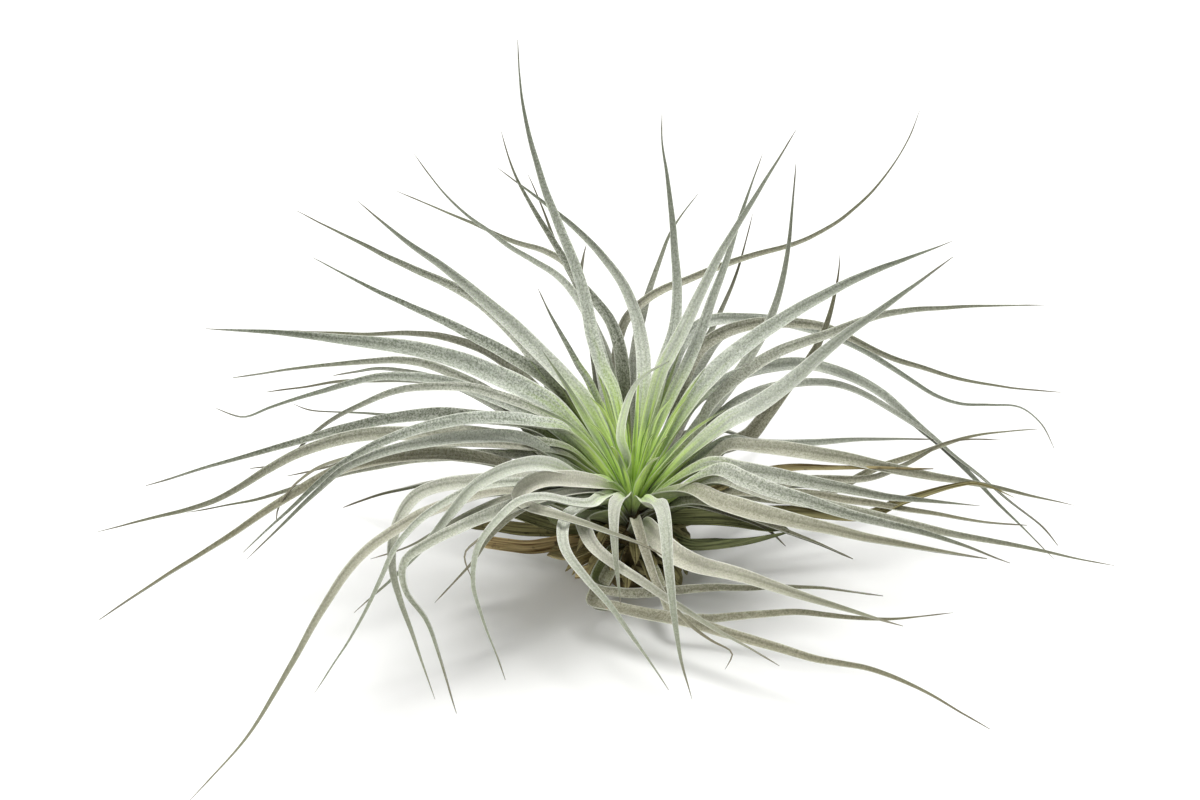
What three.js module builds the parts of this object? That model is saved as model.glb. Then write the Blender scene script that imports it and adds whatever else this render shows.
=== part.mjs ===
// An air plant: a grey-green rosette of long, channelled, tapering leaves on a short stem, standing free.
//
// Millimetres, +Z up, the front is -Y. The origin is the middle of the stem's flat foot. The leaves are set
// on the crown of the stem along one spiral, the oldest lowest. Each is a thin blade with a V-shaped section,
// swept along its own route: a few points chosen by eye, as they appear from the front and a little above.
import * as THREE from "three";
import { mergeVertices } from "three/addons/utils/BufferGeometryUtils.js";

// The stem: a flat foot below an egg-shaped crown.
const CROWN_CENTRE = 16;
const CROWN_RADIUS = 11;
const CROWN_HALF_HEIGHT = 21;
const CROWN_ANGLES = [-36, 81]; // of the outline's lowest and highest points, from the crown's middle
const CROWN_ANGLE_STEP = 9;
const FOOT_RADIUS = 6.5;
const FOOT_SHOULDER = 3;
const STEM_SIDES = 32;

// The spiral of leaf seats. Turn 0 is among the oldest, and each later turn sits higher and grows steeper.
const SPIRAL_STEP = 137.5; // degrees round the stem from one leaf to the next
const LAST_TURN = 76;
const SEAT_ANGLES = [-22, 72]; // of the first and last seat on the crown's outline, from its middle
const LAUNCH_PITCHES = [12, 78]; // degrees above level in which the first and last leaf grow
const LAUNCH_LENGTH = 7;
const LAUNCH_OUT = 1.75; // extra distance square to the crown

// The blades.
const SEAT_GAP = 0.45;
const SEAT_WIDTH = 3.2;
const OPENS_OVER = 40; // length in which a blade widens from its seat to its full width
const TAPERS_FROM = 0.35; // share of the length at which it starts to narrow to its tip
const TAPER_POWER = 0.9; // under 1, so the edges bow outwards a little
const THICKNESS = 1.1;
const TIP_THICKNESS = 0.5;
const TIP_WIDTH = 1;
const CHANNEL = 0.2; // rise of the edges above the midrib, as a share of the width
const SECTION_SPACING = 9;
const TABLE_CLEARANCE = 0.6; // least height of a midrib, where a blade touches the table

// The view for the routes: from the front and above, with the rosette's heart a little off its centre.
const HEART_HEIGHT = 30;
const VIEW_DISTANCE = 680;
const VIEW_ELEVATION = THREE.MathUtils.degToRad(25);
const HEART_RIGHT_OF_CENTRE = 9.5;
const HEART_BELOW_CENTRE = 27.5;

const AXIS_UP = new THREE.Vector3(0, 0, 1);
const VIEW_RIGHT = new THREE.Vector3(1, 0, 0);
const VIEW_UP = new THREE.Vector3(0, Math.sin(VIEW_ELEVATION), Math.cos(VIEW_ELEVATION));
const VIEW_FORWARD = new THREE.Vector3(0, Math.cos(VIEW_ELEVATION), -Math.sin(VIEW_ELEVATION));

// Turn of the spiral, full width, then the route: [right of the heart, above the heart, behind the stem].
// The first two are as they appear at the heart's distance, and the last is the true depth.
const LEAVES = {
  left_leaf: [
    [22, 4.2, [-24, 24, 12], [-39, 39, 21], [-57, 46, 30], [-81, 47, 41], [-105, 48, 50]],
    [48, 3.6, [-8, 37, 22], [-18, 60, 42], [-39, 75, 60], [-53, 86, 70], [-65, 101, 80]],
    [51, 5, [-22, 17, 1], [-51, 31, 3], [-75, 34, 3], [-102, 27, 4], [-119, 22, 4], [-124, 25, 4]],
    [35, 5.4, [-30, 41, 28], [-45, 56, 40], [-69, 68, 56], [-100, 84, 76]],
    [
      25, 6,
      [-30, 12, -6], [-68, 17, -12], [-84, 16, -15], [-102, 10, -19], [-123, -2, -23], [-160, -12, -28],
    ],
    [64, 8.4, [-18, 19, 5], [-33, 30, 9], [-57, 40, 15], [-87, 45, 23], [-127, 49, 34]],
    [56, 6.6, [-10, 20, 7.5], [-22, 35, 17], [-45, 58, 32], [-69, 76, 45], [-82, 87, 54]],
    [38, 5.6, [-25, 16, -2], [-51, 22, -5], [-69, 22, -6], [-102, 14, -9], [-145, 2, -13]],
    [43, 5.4, [-20, 27, 13], [-45, 45, 25], [-75, 59, 40], [-95, 70, 50]],
    [27, 4.4, [-17, 65, 58], [-39, 76, 74], [-70, 90, 86]],
    [30, 4.6, [-39, 26, 7], [-63, 38, 11], [-87, 38, 15], [-119, 34, 21]],
    [69, 4, [-7, 22, 11], [-18, 41, 24], [-28, 61, 37]],
    [
      12, 6,
      [-27, 2, -12], [-54, 10, -22], [-81, 8, -32], [-102, -2, -39], [-129, -19, -48], [-159, -38, -57],
    ],
    [
      67, 6.2,
      [-10, 12, -4], [-21, 18, -11], [-45, 21, -23], [-78, 13, -40], [-104, -7, -53], [-116, -18, -59],
    ],
    [46, 5.6, [-33, 15, -16], [-69, 13, -38], [-86, 7, -48], [-99, -5, -55], [-115, -20, -63]],
  ],
  front_leaf: [
    [
      20, 5,
      [-30, 0, -27], [-54, -4, -50], [-78, -17, -76], [-90, -32, -90], [-114, -72, -108], [-132, -92, -118],
    ],
    [
      54, 3.8,
      [-20, 5, -23], [-39, 3, -42], [-57, -4, -59], [-69, -14, -73], [-80, -37, -85], [-95, -60, -90],
    ],
    [75, 6.4, [-8, 6, -8], [-27, 9, -36], [-48, 1, -60], [-60, -14, -66], [-72, -26, -70], [-83, -36, -73]],
    [
      33, 6.2,
      [-18, 5, -13], [-45, 3, -33], [-65, -2, -49], [-72, -20, -70], [-63, -49, -84], [-59, -62, -90],
    ],
    [
      41, 5.8,
      [-15, 2, -22], [-39, -6, -53], [-63, -17, -77], [-70, -24, -83], [-63, -34, -87], [-52, -66, -95],
    ],
    [
      62, 4.2,
      [-14, -1, -38], [-33, -3, -54], [-46, -17, -68], [-47, -29, -74], [-42, -44, -78], [-38, -56, -80],
    ],
    [49, 5.2, [-11, 0, -26], [-20, -8, -50], [-19, -20, -66], [-10, -30, -74], [2, -46, -82], [11, -59, -86]],
    [28, 5, [-14, -5, -28], [-10, -16, -46], [4, -28, -60], [20, -38, -69], [44, -52, -80]],
    [36, 4.8, [-2, 0, -20], [-5, -3, -40], [-5, -14, -52], [-4, -26, -58], [-3, -34, -60]],
    [57, 6, [4, 0, -22], [8, -2, -42], [10, -8, -55], [11, -23, -68], [15, -50, -81], [18, -62, -85]],
    [23, 7.6, [5, -9, -26], [14, -17, -38], [32, -25, -49], [59, -34, -61], [81, -40, -70]],
    [15, 4.2, [-14, -19, -20], [-6, -25, -30], [26, -28, -38], [50, -28, -43], [75, -31, -48]],
    [
      7, 5.2,
      [-16, -26, -22], [-8, -31, -34], [20, -40, -50], [50, -49, -68], [80, -56, -82], [107, -71, -96],
    ],
    [2, 3.6, [6, -29, -28], [14, -34, -35], [50, -36, -45], [74, -38, -52], [96, -36, -58]],
  ],
  right_leaf: [
    [26, 5, [20, 2, -8], [44, -2, -17], [74, -8, -29], [98, -13, -37], [144, -22, -52]],
    [39, 6.4, [20, 5, -12], [44, -1, -25], [68, -8, -38], [92, -14, -49], [113, -21, -58]],
    [18, 7.4, [17, -1, -15], [26, -4, -22], [50, -10, -38], [80, -16, -54], [106, -20, -67]],
    [34, 6.2, [17, 7, -3], [32, 6, -7], [56, 2, -12], [80, -2, -17], [104, -4, -22]],
    [13, 4.6, [20, -4, -2], [46, -1, -6], [65, -3, -9], [98, -8, -14], [118, -10, -17]],
    [21, 5.8, [26, 12, 2], [44, 12, 2], [62, 10, 2], [86, 5, 1], [110, 1, 0], [132, -4, 0]],
    [8, 4.2, [25, -3, 6], [53, -2, 11], [74, 7, 16], [104, 17, 22], [121, 19, 26]],
    [42, 4.6, [17, 11, 5], [26, 14, 7], [44, 14, 10], [65, 15, 12], [90, 16, 14]],
    [45, 4.6, [17, 47, 38], [38, 51, 57], [65, 44, 66], [95, 27, 63], [119, 24, 58], [126, 13, 55]],
    [24, 5, [21, 43, 36], [50, 50, 50], [80, 39, 53], [104, 32, 51], [128, 30, 50]],
    [
      50, 5.2,
      [14, 20, 10], [29, 33, 20], [50, 38, 27], [71, 31, 29], [89, 16, 26], [104, 2, 19], [126, -20, 8],
    ],
    [29, 4.6, [23, 24, 11], [41, 40, 18], [59, 47, 24], [77, 53, 31], [98, 55, 38], [123, 56, 46]],
    [55, 7.6, [17, 13, 2], [35, 23, 7], [50, 34, 10], [65, 47, 13], [96, 70, 18]],
    [63, 7.2, [10, 13, 5], [26, 36, 14], [44, 50, 22], [62, 61, 30], [96, 75, 45]],
    [16, 6.4, [18, 8, 12], [35, 16, 24], [44, 28, 31], [55, 42, 38], [60, 56, 43], [62, 71, 46]],
    [37, 5, [20, 19, 18], [32, 35, 29], [41, 50, 37], [46, 66, 43], [49, 98, 50]],
    [19, 3.6, [-3, 50, 48], [23, 66, 72], [59, 79, 85], [80, 100, 90], [86, 114, 92]],
    [71, 5.4, [8, 32, 12], [17, 51, 18], [32, 80, 27], [49, 108, 36]],
    [58, 4.6, [8, 19, 10], [17, 39, 21], [24, 57, 32], [34, 87, 48], [39, 101, 56]],
  ],
  back_leaf: [
    [66, 5.2, [4, 18, 10], [8, 33, 20], [13, 51, 32], [13, 69, 41], [9, 105, 52], [9, 113, 55]],
    [32, 4.6, [1, 30, 30], [2, 48, 54], [8, 68, 76], [13, 80, 88], [20, 89, 97]],
    [53, 5.2, [3, 24, 18], [3, 45, 38], [-3, 62, 54], [-14, 76, 66], [-40, 97, 82]],
    [61, 6.8, [-1, 18, 8], [-10, 39, 19], [-15, 60, 27], [-28, 96, 38], [-33, 117, 42], [-34, 135, 46]],
    [40, 5, [-4, 45, 38], [-18, 66, 52], [-34, 93, 64], [-39, 108, 71]],
    [3, 4.6, [10, 10, 26], [24, 18, 60], [40, 8, 92]],
    [6, 4.6, [-4, 12, 30], [-10, 22, 64], [-16, 14, 104]],
    [1, 4.6, [-18, 8, 20], [-40, 16, 52], [-62, 4, 84]],
  ],
  cut_leaf: [
    [4, 4.2, [-23, -14, -5], [-39, -11, -9], [-50, -10, -12]],
    [-1, 4.6, [-22, -19, -12], [-39, -17, -19], [-46, -16, -22]],
    [5, 5.2, [20, -9, -12], [38, -10, -15], [47, -11, -17]],
  ],
};

// Colour and roughness of the scaly grey-green blades, of the dry cut ones and of the stem.
const COLOURS = {
  left_leaf: 0x8b9488,
  front_leaf: 0xb4baac,
  right_leaf: 0x96a092,
  back_leaf: 0x8f9a88,
  cut_leaf: 0x8a7d5c,
};
const STEM_COLOUR = 0x4a3a2a;
const SCALY_ROUGHNESS = 0.85;
const BARK_ROUGHNESS = 0.95;

function direction(azimuth, pitch) {
  const a = THREE.MathUtils.degToRad(azimuth);
  const p = THREE.MathUtils.degToRad(pitch);
  return new THREE.Vector3(Math.cos(a) * Math.cos(p), Math.sin(a) * Math.cos(p), Math.sin(p));
}

// The point that appears this far right of and above the heart, and lies this far behind the stem's axis.
function placeFromView([right, above, behind]) {
  const centre = new THREE.Vector3(0, 0, HEART_HEIGHT)
    .addScaledVector(VIEW_RIGHT, -HEART_RIGHT_OF_CENTRE)
    .addScaledVector(VIEW_UP, HEART_BELOW_CENTRE);
  const rise = (above - HEART_BELOW_CENTRE) / VIEW_DISTANCE;
  const distance =
    (behind - centre.y + VIEW_DISTANCE * VIEW_FORWARD.y) / (VIEW_FORWARD.y + rise * VIEW_UP.y);
  const place = centre
    .addScaledVector(VIEW_RIGHT, ((right + HEART_RIGHT_OF_CENTRE) * distance) / VIEW_DISTANCE)
    .addScaledVector(VIEW_UP, rise * distance)
    .addScaledVector(VIEW_FORWARD, distance - VIEW_DISTANCE);
  place.z = Math.max(place.z, TABLE_CLEARANCE);
  return place;
}

// A point of the crown's outline, as distance from the stem's axis and height.
function crownOutline(angle) {
  const a = THREE.MathUtils.degToRad(angle);
  return new THREE.Vector2(CROWN_RADIUS * Math.cos(a), CROWN_CENTRE + CROWN_HALF_HEIGHT * Math.sin(a));
}

// A blade's midrib: out of its seat square to the crown, then upwards, then through the points of its route.
function midrib(turn, route) {
  const azimuth = turn * SPIRAL_STEP;
  const angle = THREE.MathUtils.mapLinear(turn, 0, LAST_TURN, ...SEAT_ANGLES);
  const pitch = THREE.MathUtils.mapLinear(turn, 0, LAST_TURN, ...LAUNCH_PITCHES);
  const { x: radius, y: height } = crownOutline(angle);
  const slope = (Math.tan(THREE.MathUtils.degToRad(angle)) * CROWN_RADIUS) / CROWN_HALF_HEIGHT;
  const out = direction(azimuth, THREE.MathUtils.radToDeg(Math.atan(slope)));
  const seat = direction(azimuth, 0).multiplyScalar(radius).setZ(height).addScaledVector(out, SEAT_GAP);
  const launch = seat.clone().addScaledVector(direction(azimuth, pitch), LAUNCH_LENGTH);
  launch.addScaledVector(out, LAUNCH_OUT);
  const curve = new THREE.CatmullRomCurve3([seat, launch, ...route.map(placeFromView)], false, "centripetal");
  return { curve, out };
}

// A blade: sections of four corners in a shallow V along the midrib, from a capped seat to one tip point.
function bladeGeometry([turn, width, ...route]) {
  const { curve, out } = midrib(turn, route);
  const length = curve.getLength();
  const sections = Math.round(length / SECTION_SPACING);
  const side = new THREE.Vector3().crossVectors(AXIS_UP, out).normalize();
  const positions = [];
  const triangles = [];
  for (let i = 0; i <= sections; i++) {
    const along = i / sections;
    const centre = curve.getPointAt(along);
    const forward = curve.getTangentAt(along);
    side.addScaledVector(forward, -side.dot(forward)).normalize();
    const upper = new THREE.Vector3().crossVectors(forward, side);
    centre.z = Math.max(centre.z, TABLE_CLEARANCE);
    if (i === sections) {
      positions.push(...centre.toArray());
      break;
    }
    const opening = THREE.MathUtils.smoothstep(along * length, 0, OPENS_OVER);
    const taper = Math.min(1, (1 - along) / (1 - TAPERS_FROM)) ** TAPER_POWER;
    const full = Math.max(TIP_WIDTH, width * taper);
    const breadth = THREE.MathUtils.lerp(Math.min(SEAT_WIDTH, full), full, opening);
    const thick = THREE.MathUtils.lerp(THICKNESS, TIP_THICKNESS, along);
    const corners = [
      [-breadth / 2, CHANNEL * breadth],
      [0, -thick / 2],
      [breadth / 2, CHANNEL * breadth],
      [0, thick / 2],
    ];
    for (const [across, above] of corners) {
      const corner = centre.clone().addScaledVector(side, across).addScaledVector(upper, above);
      positions.push(...corner.toArray());
    }
  }
  triangles.push(0, 3, 1, 1, 3, 2);
  for (let i = 0; i < sections; i++)
    for (let k = 0; k < 4; k++) {
      const a = 4 * i + k;
      const b = 4 * i + ((k + 1) % 4);
      if (i < sections - 1) triangles.push(a, b, a + 4, b, b + 4, a + 4);
      else triangles.push(a, b, 4 * sections);
    }
  const geometry = new THREE.BufferGeometry();
  geometry.setAttribute("position", new THREE.Float32BufferAttribute(positions, 3));
  geometry.setIndex(triangles);
  geometry.computeVertexNormals();
  return geometry;
}

// The foot and crown, turned about the stem's axis.
function stemGeometry() {
  const profile = [new THREE.Vector2(0, 0), new THREE.Vector2(FOOT_RADIUS, 0)];
  profile.push(new THREE.Vector2(FOOT_RADIUS, FOOT_SHOULDER));
  const [lowest, highest] = CROWN_ANGLES;
  for (let angle = lowest; angle <= highest; angle += CROWN_ANGLE_STEP) profile.push(crownOutline(angle));
  profile.push(new THREE.Vector2(0, CROWN_CENTRE + CROWN_HALF_HEIGHT));
  const geometry = new THREE.LatheGeometry(profile, STEM_SIDES);
  geometry.rotateX(Math.PI / 2);
  geometry.deleteAttribute("normal");
  geometry.deleteAttribute("uv");
  return mergeVertices(geometry);
}

const plant = new THREE.Group();

const stem = new THREE.Mesh(
  stemGeometry(),
  new THREE.MeshStandardMaterial({ color: STEM_COLOUR, roughness: BARK_ROUGHNESS, metalness: 0 }),
);
stem.name = "stem";
plant.add(stem);

for (const [kind, rows] of Object.entries(LEAVES))
  rows.forEach((row, i) => {
    const material = new THREE.MeshStandardMaterial({
      color: COLOURS[kind],
      roughness: SCALY_ROUGHNESS,
      metalness: 0,
    });
    const leaf = new THREE.Mesh(bladeGeometry(row), material);
    leaf.name = `${kind}_${String(i + 1).padStart(2, "0")}`;
    plant.add(leaf);
  });

export default plant;
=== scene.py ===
import math

import bmesh
import bpy
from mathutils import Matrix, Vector


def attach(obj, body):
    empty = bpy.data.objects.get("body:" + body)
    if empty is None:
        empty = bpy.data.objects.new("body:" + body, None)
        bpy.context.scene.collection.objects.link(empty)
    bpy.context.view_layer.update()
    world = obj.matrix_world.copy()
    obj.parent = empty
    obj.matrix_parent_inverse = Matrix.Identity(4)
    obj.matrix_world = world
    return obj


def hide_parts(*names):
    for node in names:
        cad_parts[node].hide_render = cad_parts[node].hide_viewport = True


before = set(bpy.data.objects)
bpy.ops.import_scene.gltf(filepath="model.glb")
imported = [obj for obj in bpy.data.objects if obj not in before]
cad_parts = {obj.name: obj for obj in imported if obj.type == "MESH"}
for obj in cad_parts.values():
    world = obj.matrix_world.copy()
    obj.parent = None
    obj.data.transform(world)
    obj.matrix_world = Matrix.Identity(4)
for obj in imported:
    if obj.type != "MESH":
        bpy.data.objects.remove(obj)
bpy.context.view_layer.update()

# ----------------------------------------------------------
# The stem: short, woody and dark, all but hidden by the leaf bases. Its surface is cork and the fibres of
# old leaf bases. The foot is the clean break where the plant was picked.

MM = 0.001
STEM_PROFILE = ((0, 0), (6.2, 0), (6.5, 0.6), (6.3, 3), (6.8, 6), (7.6, 11), (7.4, 15), (6.4, 19), (4.6, 23),
                (2.4, 26), (0, 27.5))  # distance from the axis and height, in mm
STEM_SIDES = 72
STEM_RINGS = 60
FIBRE_HEIGHT = 0.35  # mm, reached SMOOTH_FOOT mm above the foot
SMOOTH_FOOT = 2
FIBRES_ROUND = 11
FIBRE_SLANT = 0.5  # radians for each mm of height
BREAKS_ROUND = 3  # how often round the stem a fibre fades out and comes back
BREAK_SLANT = 0.9
NOISE = "ShaderNodeTexNoise"
RANGE = "ShaderNodeMapRange"
MIX = "ShaderNodeMix"
COLOURS = {"data_type": "RGBA"}


def linear(hex_colour):
    """An sRGB hex colour as linear red, green and blue, with alpha."""
    parts = [int(hex_colour[i:i + 2], 16) / 255 for i in (1, 3, 5)]
    return tuple(p / 12.92 if p <= 0.04045 else ((p + 0.055) / 1.055) ** 2.4 for p in parts) + (1,)


def output_of(node):
    """The output that a node is set to give."""
    return next(output for output in node.outputs if output.enabled)


def add(tree, kind, sockets=None, **settings):
    """Adds a node: its settings, then its sockets, each with a value or the node or output that feeds it."""
    node = tree.nodes.new(kind)
    for name, value in settings.items():
        setattr(node, name, value)
    for key, value in (sockets or {}).items():
        enabled = [socket for socket in node.inputs if socket.enabled]
        socket = enabled[key] if isinstance(key, int) else next(s for s in enabled if s.name == key)
        if isinstance(value, bpy.types.Node):
            value = output_of(value)
        if isinstance(value, bpy.types.NodeSocket):
            tree.links.new(value, socket)
        else:
            socket.default_value = value
    return node


def start_material(name, **constants):
    """A new material, its tree, and its shader, with the sockets set that are the same all over."""
    material = bpy.data.materials.new(name)
    material.use_nodes = True
    shader = material.node_tree.nodes["Principled BSDF"]
    for socket, value in constants.items():
        shader.inputs[socket.replace("_", " ")].default_value = value
    return material, material.node_tree, shader


def finish_surface(tree, shader, colour, relief):
    """Gives the shader the colour and the relief that vary over the surface."""
    tree.links.new(output_of(colour), shader.inputs["Base Color"])
    tree.links.new(output_of(relief), shader.inputs["Normal"])


# Cork with dried leaf fibres: dull, dark brown, split lengthwise about every 0.8 mm.
cork, tree, shader = start_material("weathered_stem_cork", Roughness=0.95, Specular_IOR_Level=0.2)
place = add(tree, "ShaderNodeTexCoord").outputs["Object"]
upright = add(tree, "ShaderNodeMapping", {"Vector": place, "Scale": (1, 1, 0.2)})
fibres = add(tree, NOISE, {"Vector": upright, "Scale": 1 / (0.8 * MM), "Detail": 6})
patches = add(tree, NOISE, {"Vector": place, "Scale": 1 / (4 * MM), "Detail": 3})
brown = add(tree, MIX, {"Factor": fibres, "A": linear("#262012"), "B": linear("#857650")}, **COLOURS)
wear_and_painted_shade = add(tree, RANGE, {"Value": patches, "From Min": 0.45, "From Max": 0.62})
colour = add(tree, MIX, {"Factor": wear_and_painted_shade, "A": brown, "B": linear("#3a331f")}, **COLOURS)
relief = add(tree, "ShaderNodeBump", {"Height": fibres, "Strength": 0.9, "Distance": 0.3 * MM})
finish_surface(tree, shader, colour, relief)


def smooth_step(share):
    """An eased rise from 0 to 1."""
    share = min(1, max(0, share))
    return share * share * (3 - 2 * share)


def between(first, last, share):
    """The value at this share of the way from the first to the last."""
    return first + (last - first) * share


def stem_radius(height):
    """The stem's radius at a height, both in mm, eased between the points of its profile."""
    for (r0, z0), (r1, z1) in zip(STEM_PROFILE[1:], STEM_PROFILE[2:]):
        if height <= z1:
            return between(r0, r1, smooth_step((height - z0) / (z1 - z0)))
    return 0


points = []
top = STEM_PROFILE[-1][1]
for k in range(STEM_RINGS):
    height = top * k / STEM_RINGS
    rough = FIBRE_HEIGHT * min(1, height / SMOOTH_FOOT)
    for j in range(STEM_SIDES):
        turn = 2 * math.pi * j / STEM_SIDES
        ridge = math.sin(FIBRES_ROUND * turn + FIBRE_SLANT * height)
        ridge *= math.sin(BREAK_SLANT * height + BREAKS_ROUND * turn)
        radius = stem_radius(height) + rough * ridge
        points.append((radius * math.cos(turn) * MM, radius * math.sin(turn) * MM, height * MM))
foot_middle = len(points)
top_middle = foot_middle + 1
top_ring = foot_middle - STEM_SIDES
points += [(0, 0, 0), (0, 0, top * MM)]
faces = []
for k in range(STEM_RINGS - 1):
    for j in range(STEM_SIDES):
        a, b = k * STEM_SIDES + j, k * STEM_SIDES + (j + 1) % STEM_SIDES
        faces.append((a, b, b + STEM_SIDES, a + STEM_SIDES))
for j in range(STEM_SIDES):
    faces.append((foot_middle, (j + 1) % STEM_SIDES, j))
    faces.append((top_middle, top_ring + j, top_ring + (j + 1) % STEM_SIDES))
stem_mesh = bpy.data.meshes.new("stem_core")
stem_mesh.from_pydata(points, [], faces)
stem_mesh.shade_smooth()
stem_mesh.materials.append(cork)


def add_object(name, data):
    """A new object in the scene, with this data."""
    made = bpy.data.objects.new(name, data)
    bpy.context.scene.collection.objects.link(made)
    return made


def place_piece(name, mesh, nodes=()):
    """Puts a finished mesh in the scene and ties it to the frame."""
    piece = add_object(name, mesh)
    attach(piece, "root")
    if nodes:
        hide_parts(*nodes)


place_piece("stem_core", stem_mesh, ["stem"])

# ----------------------------------------------------------
# The leaf blades. Each is one long, thin, channelled leaf: it clasps the stem with a broad base, arches out,
# and narrows to a thread. It is living tissue under a felt of fine silvery scales, and each is grown in one
# piece from the stem. Geometry Nodes sweep the blade along its midrib.

leaf = bpy.data.node_groups.new("channelled_leaf", "GeometryNodeTree")
LEAF_INPUTS = {  # each with its default value, or its kind where it has none
    "Midrib": "NodeSocketGeometry",
    "Width": 6 * MM,
    "Sheath flare": 1.1,
    "Sheath length": 42 * MM,
    "Tapers from": 0.35,
    "Taper power": 0.9,
    "Tip width": 0.6 * MM,
    "Midrib thickness": 0.9 * MM,
    "Tip thickness": 0.4 * MM,
    "Fold at base": math.radians(50),
    "Fold": math.radians(38),
    "Fold at tip": math.radians(45),
    "Vein spacing": 1.2 * MM,
    "Vein height": 0.09 * MM,
    "Roll": 0.0,
    "Twist": 0.0,
    "Wave height": 0.5 * MM,
    "Wave length": 28 * MM,
    "Step": 1.5 * MM,
    "Sides": 40,
    "Seed": 1,
    "Tone": 0.5,
    "Youth": 0.5,
    "Dry tip": 0.1,
    "Material": "NodeSocketMaterial",
}
for name, value in LEAF_INPUTS.items():
    kind = {float: "NodeSocketFloat", int: "NodeSocketInt"}.get(type(value), value)
    socket = leaf.interface.new_socket(name, in_out="INPUT", socket_type=kind)
    if kind != value:
        socket.default_value = value
leaf.interface.new_socket("Blade", in_out="OUTPUT", socket_type="NodeSocketGeometry")
size = add(leaf, "NodeGroupInput").outputs
MATH = "ShaderNodeMath"
VECTOR = "ShaderNodeVectorMath"
TIMES = {"operation": "MULTIPLY"}
EASED = {"interpolation_type": "SMOOTHSTEP"}

# Along the midrib: the distance and share from the base, and the directions across and up.
line = add(leaf, "GeometryNodeMeshToCurve", {"Mesh": size["Midrib"]})
line = add(leaf, "GeometryNodeCurveSplineType", {"Curve": line}, spline_type="CATMULL_ROM")
line = add(leaf, "GeometryNodeSetSplineResolution", {"Geometry": line, "Resolution": 10})
line = add(leaf, "GeometryNodeResampleCurve", {"Curve": line, "Length": size["Step"]}, mode="LENGTH")
spline = add(leaf, "GeometryNodeSplineParameter").outputs
along, run = spline["Factor"], spline["Length"]
tangent = add(leaf, "GeometryNodeInputTangent")
given_side = add(leaf, "GeometryNodeInputNamedAttribute", {"Name": "side_axis"}, data_type="FLOAT_VECTOR")
lean = add(leaf, VECTOR, {0: given_side, 1: tangent}, operation="DOT_PRODUCT")
lengthwise = add(leaf, VECTOR, {0: tangent, "Scale": lean}, operation="SCALE")
level_side = add(leaf, VECTOR, {0: given_side, 1: lengthwise}, operation="SUBTRACT")
level_side = add(leaf, VECTOR, {0: level_side}, operation="NORMALIZE")
roll = add(leaf, RANGE, {"Value": along, "From Min": 0.04, "From Max": 0.45, "To Max": size["Roll"]},
           **EASED)
twist = add(leaf, MATH, {0: along, 1: 2.0}, operation="POWER")
twist = add(leaf, MATH, {0: twist, 1: size["Twist"], 2: roll}, operation="MULTIPLY_ADD")
side = add(leaf, "ShaderNodeVectorRotate", {"Vector": level_side, "Axis": tangent, "Angle": twist},
           rotation_type="AXIS_ANGLE")
up = add(leaf, VECTOR, {0: tangent, 1: side}, operation="CROSS_PRODUCT")

# Slow wander of the midrib, and of the width, as growth gives.
wander_at = add(leaf, MATH, {0: run, 1: size["Wave length"]}, operation="DIVIDE")
wander_at = add(leaf, "ShaderNodeCombineXYZ", {"X": wander_at})
wander = add(leaf, NOISE, {"Vector": wander_at, "W": size["Seed"], "Scale": 1, "Detail": 1},
             noise_dimensions="4D")
wander = add(leaf, "ShaderNodeSeparateXYZ", {"Vector": wander.outputs["Color"]}).outputs
grows = add(leaf, RANGE, {"Value": run, "From Min": 12 * MM, "From Max": 60 * MM,
                          "To Max": size["Wave height"]})
place = add(leaf, "GeometryNodeInputPosition")
for direction, amount in ((side, wander["X"]), (up, wander["Y"])):
    amount = add(leaf, RANGE, {"Value": amount, "From Min": 0.25, "From Max": 0.75, "To Min": -1.0})
    amount = add(leaf, MATH, {0: amount, 1: grows}, **TIMES)
    shift = add(leaf, VECTOR, {0: direction, "Scale": amount}, operation="SCALE")
    place = add(leaf, VECTOR, {0: place, 1: shift}, operation="ADD")

# Half the width: a flared sheath, then full width, then the taper to the tip.
left_over = add(leaf, RANGE, {"Value": along, "From Min": size["Tapers from"], "From Max": 1.0,
                              "To Min": 1.0, "To Max": 0.0})
taper = add(leaf, MATH, {0: left_over, 1: size["Taper power"]}, operation="POWER")
flare = add(leaf, RANGE, {"Value": run, "From Min": 0.0, "From Max": size["Sheath length"],
                          "To Min": size["Sheath flare"], "To Max": 1.0}, **EASED)
uneven = add(leaf, RANGE, {"Value": wander["Z"], "From Min": 0.25, "From Max": 0.75, "To Min": 0.94,
                           "To Max": 1.06})
width = size["Width"]
for factor in (taper, flare, uneven):
    width = add(leaf, MATH, {0: width, 1: factor}, **TIMES)
width = add(leaf, MATH, {0: width, 1: size["Tip width"]}, operation="MAXIMUM")
point = add(leaf, RANGE, {"Value": along, "From Min": 0.96, "From Max": 1.0, "To Min": 1.0, "To Max": 0.2})
for factor in (point, 0.5):
    width = add(leaf, MATH, {0: width, 1: factor}, **TIMES)

# The fold of the channel: deep in the sheath, shallow in the blade, and nearly rolled up at the tip.
past_sheath = add(leaf, RANGE, {"Value": run, "From Min": 4 * MM, "From Max": 34 * MM,
                                "To Min": size["Fold at base"], "To Max": size["Fold"]}, **EASED)
near_tip = add(leaf, RANGE, {"Value": along, "From Min": 0.55, "From Max": 1.0}, **EASED)
fold = add(leaf, MIX, {"Factor": near_tip, "A": past_sheath, "B": size["Fold at tip"]})
thickness = add(leaf, MIX, {"Factor": along, "A": size["Midrib thickness"], "B": size["Tip thickness"]})
thickness = add(leaf, MATH, {0: thickness, 1: point}, **TIMES)

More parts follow.
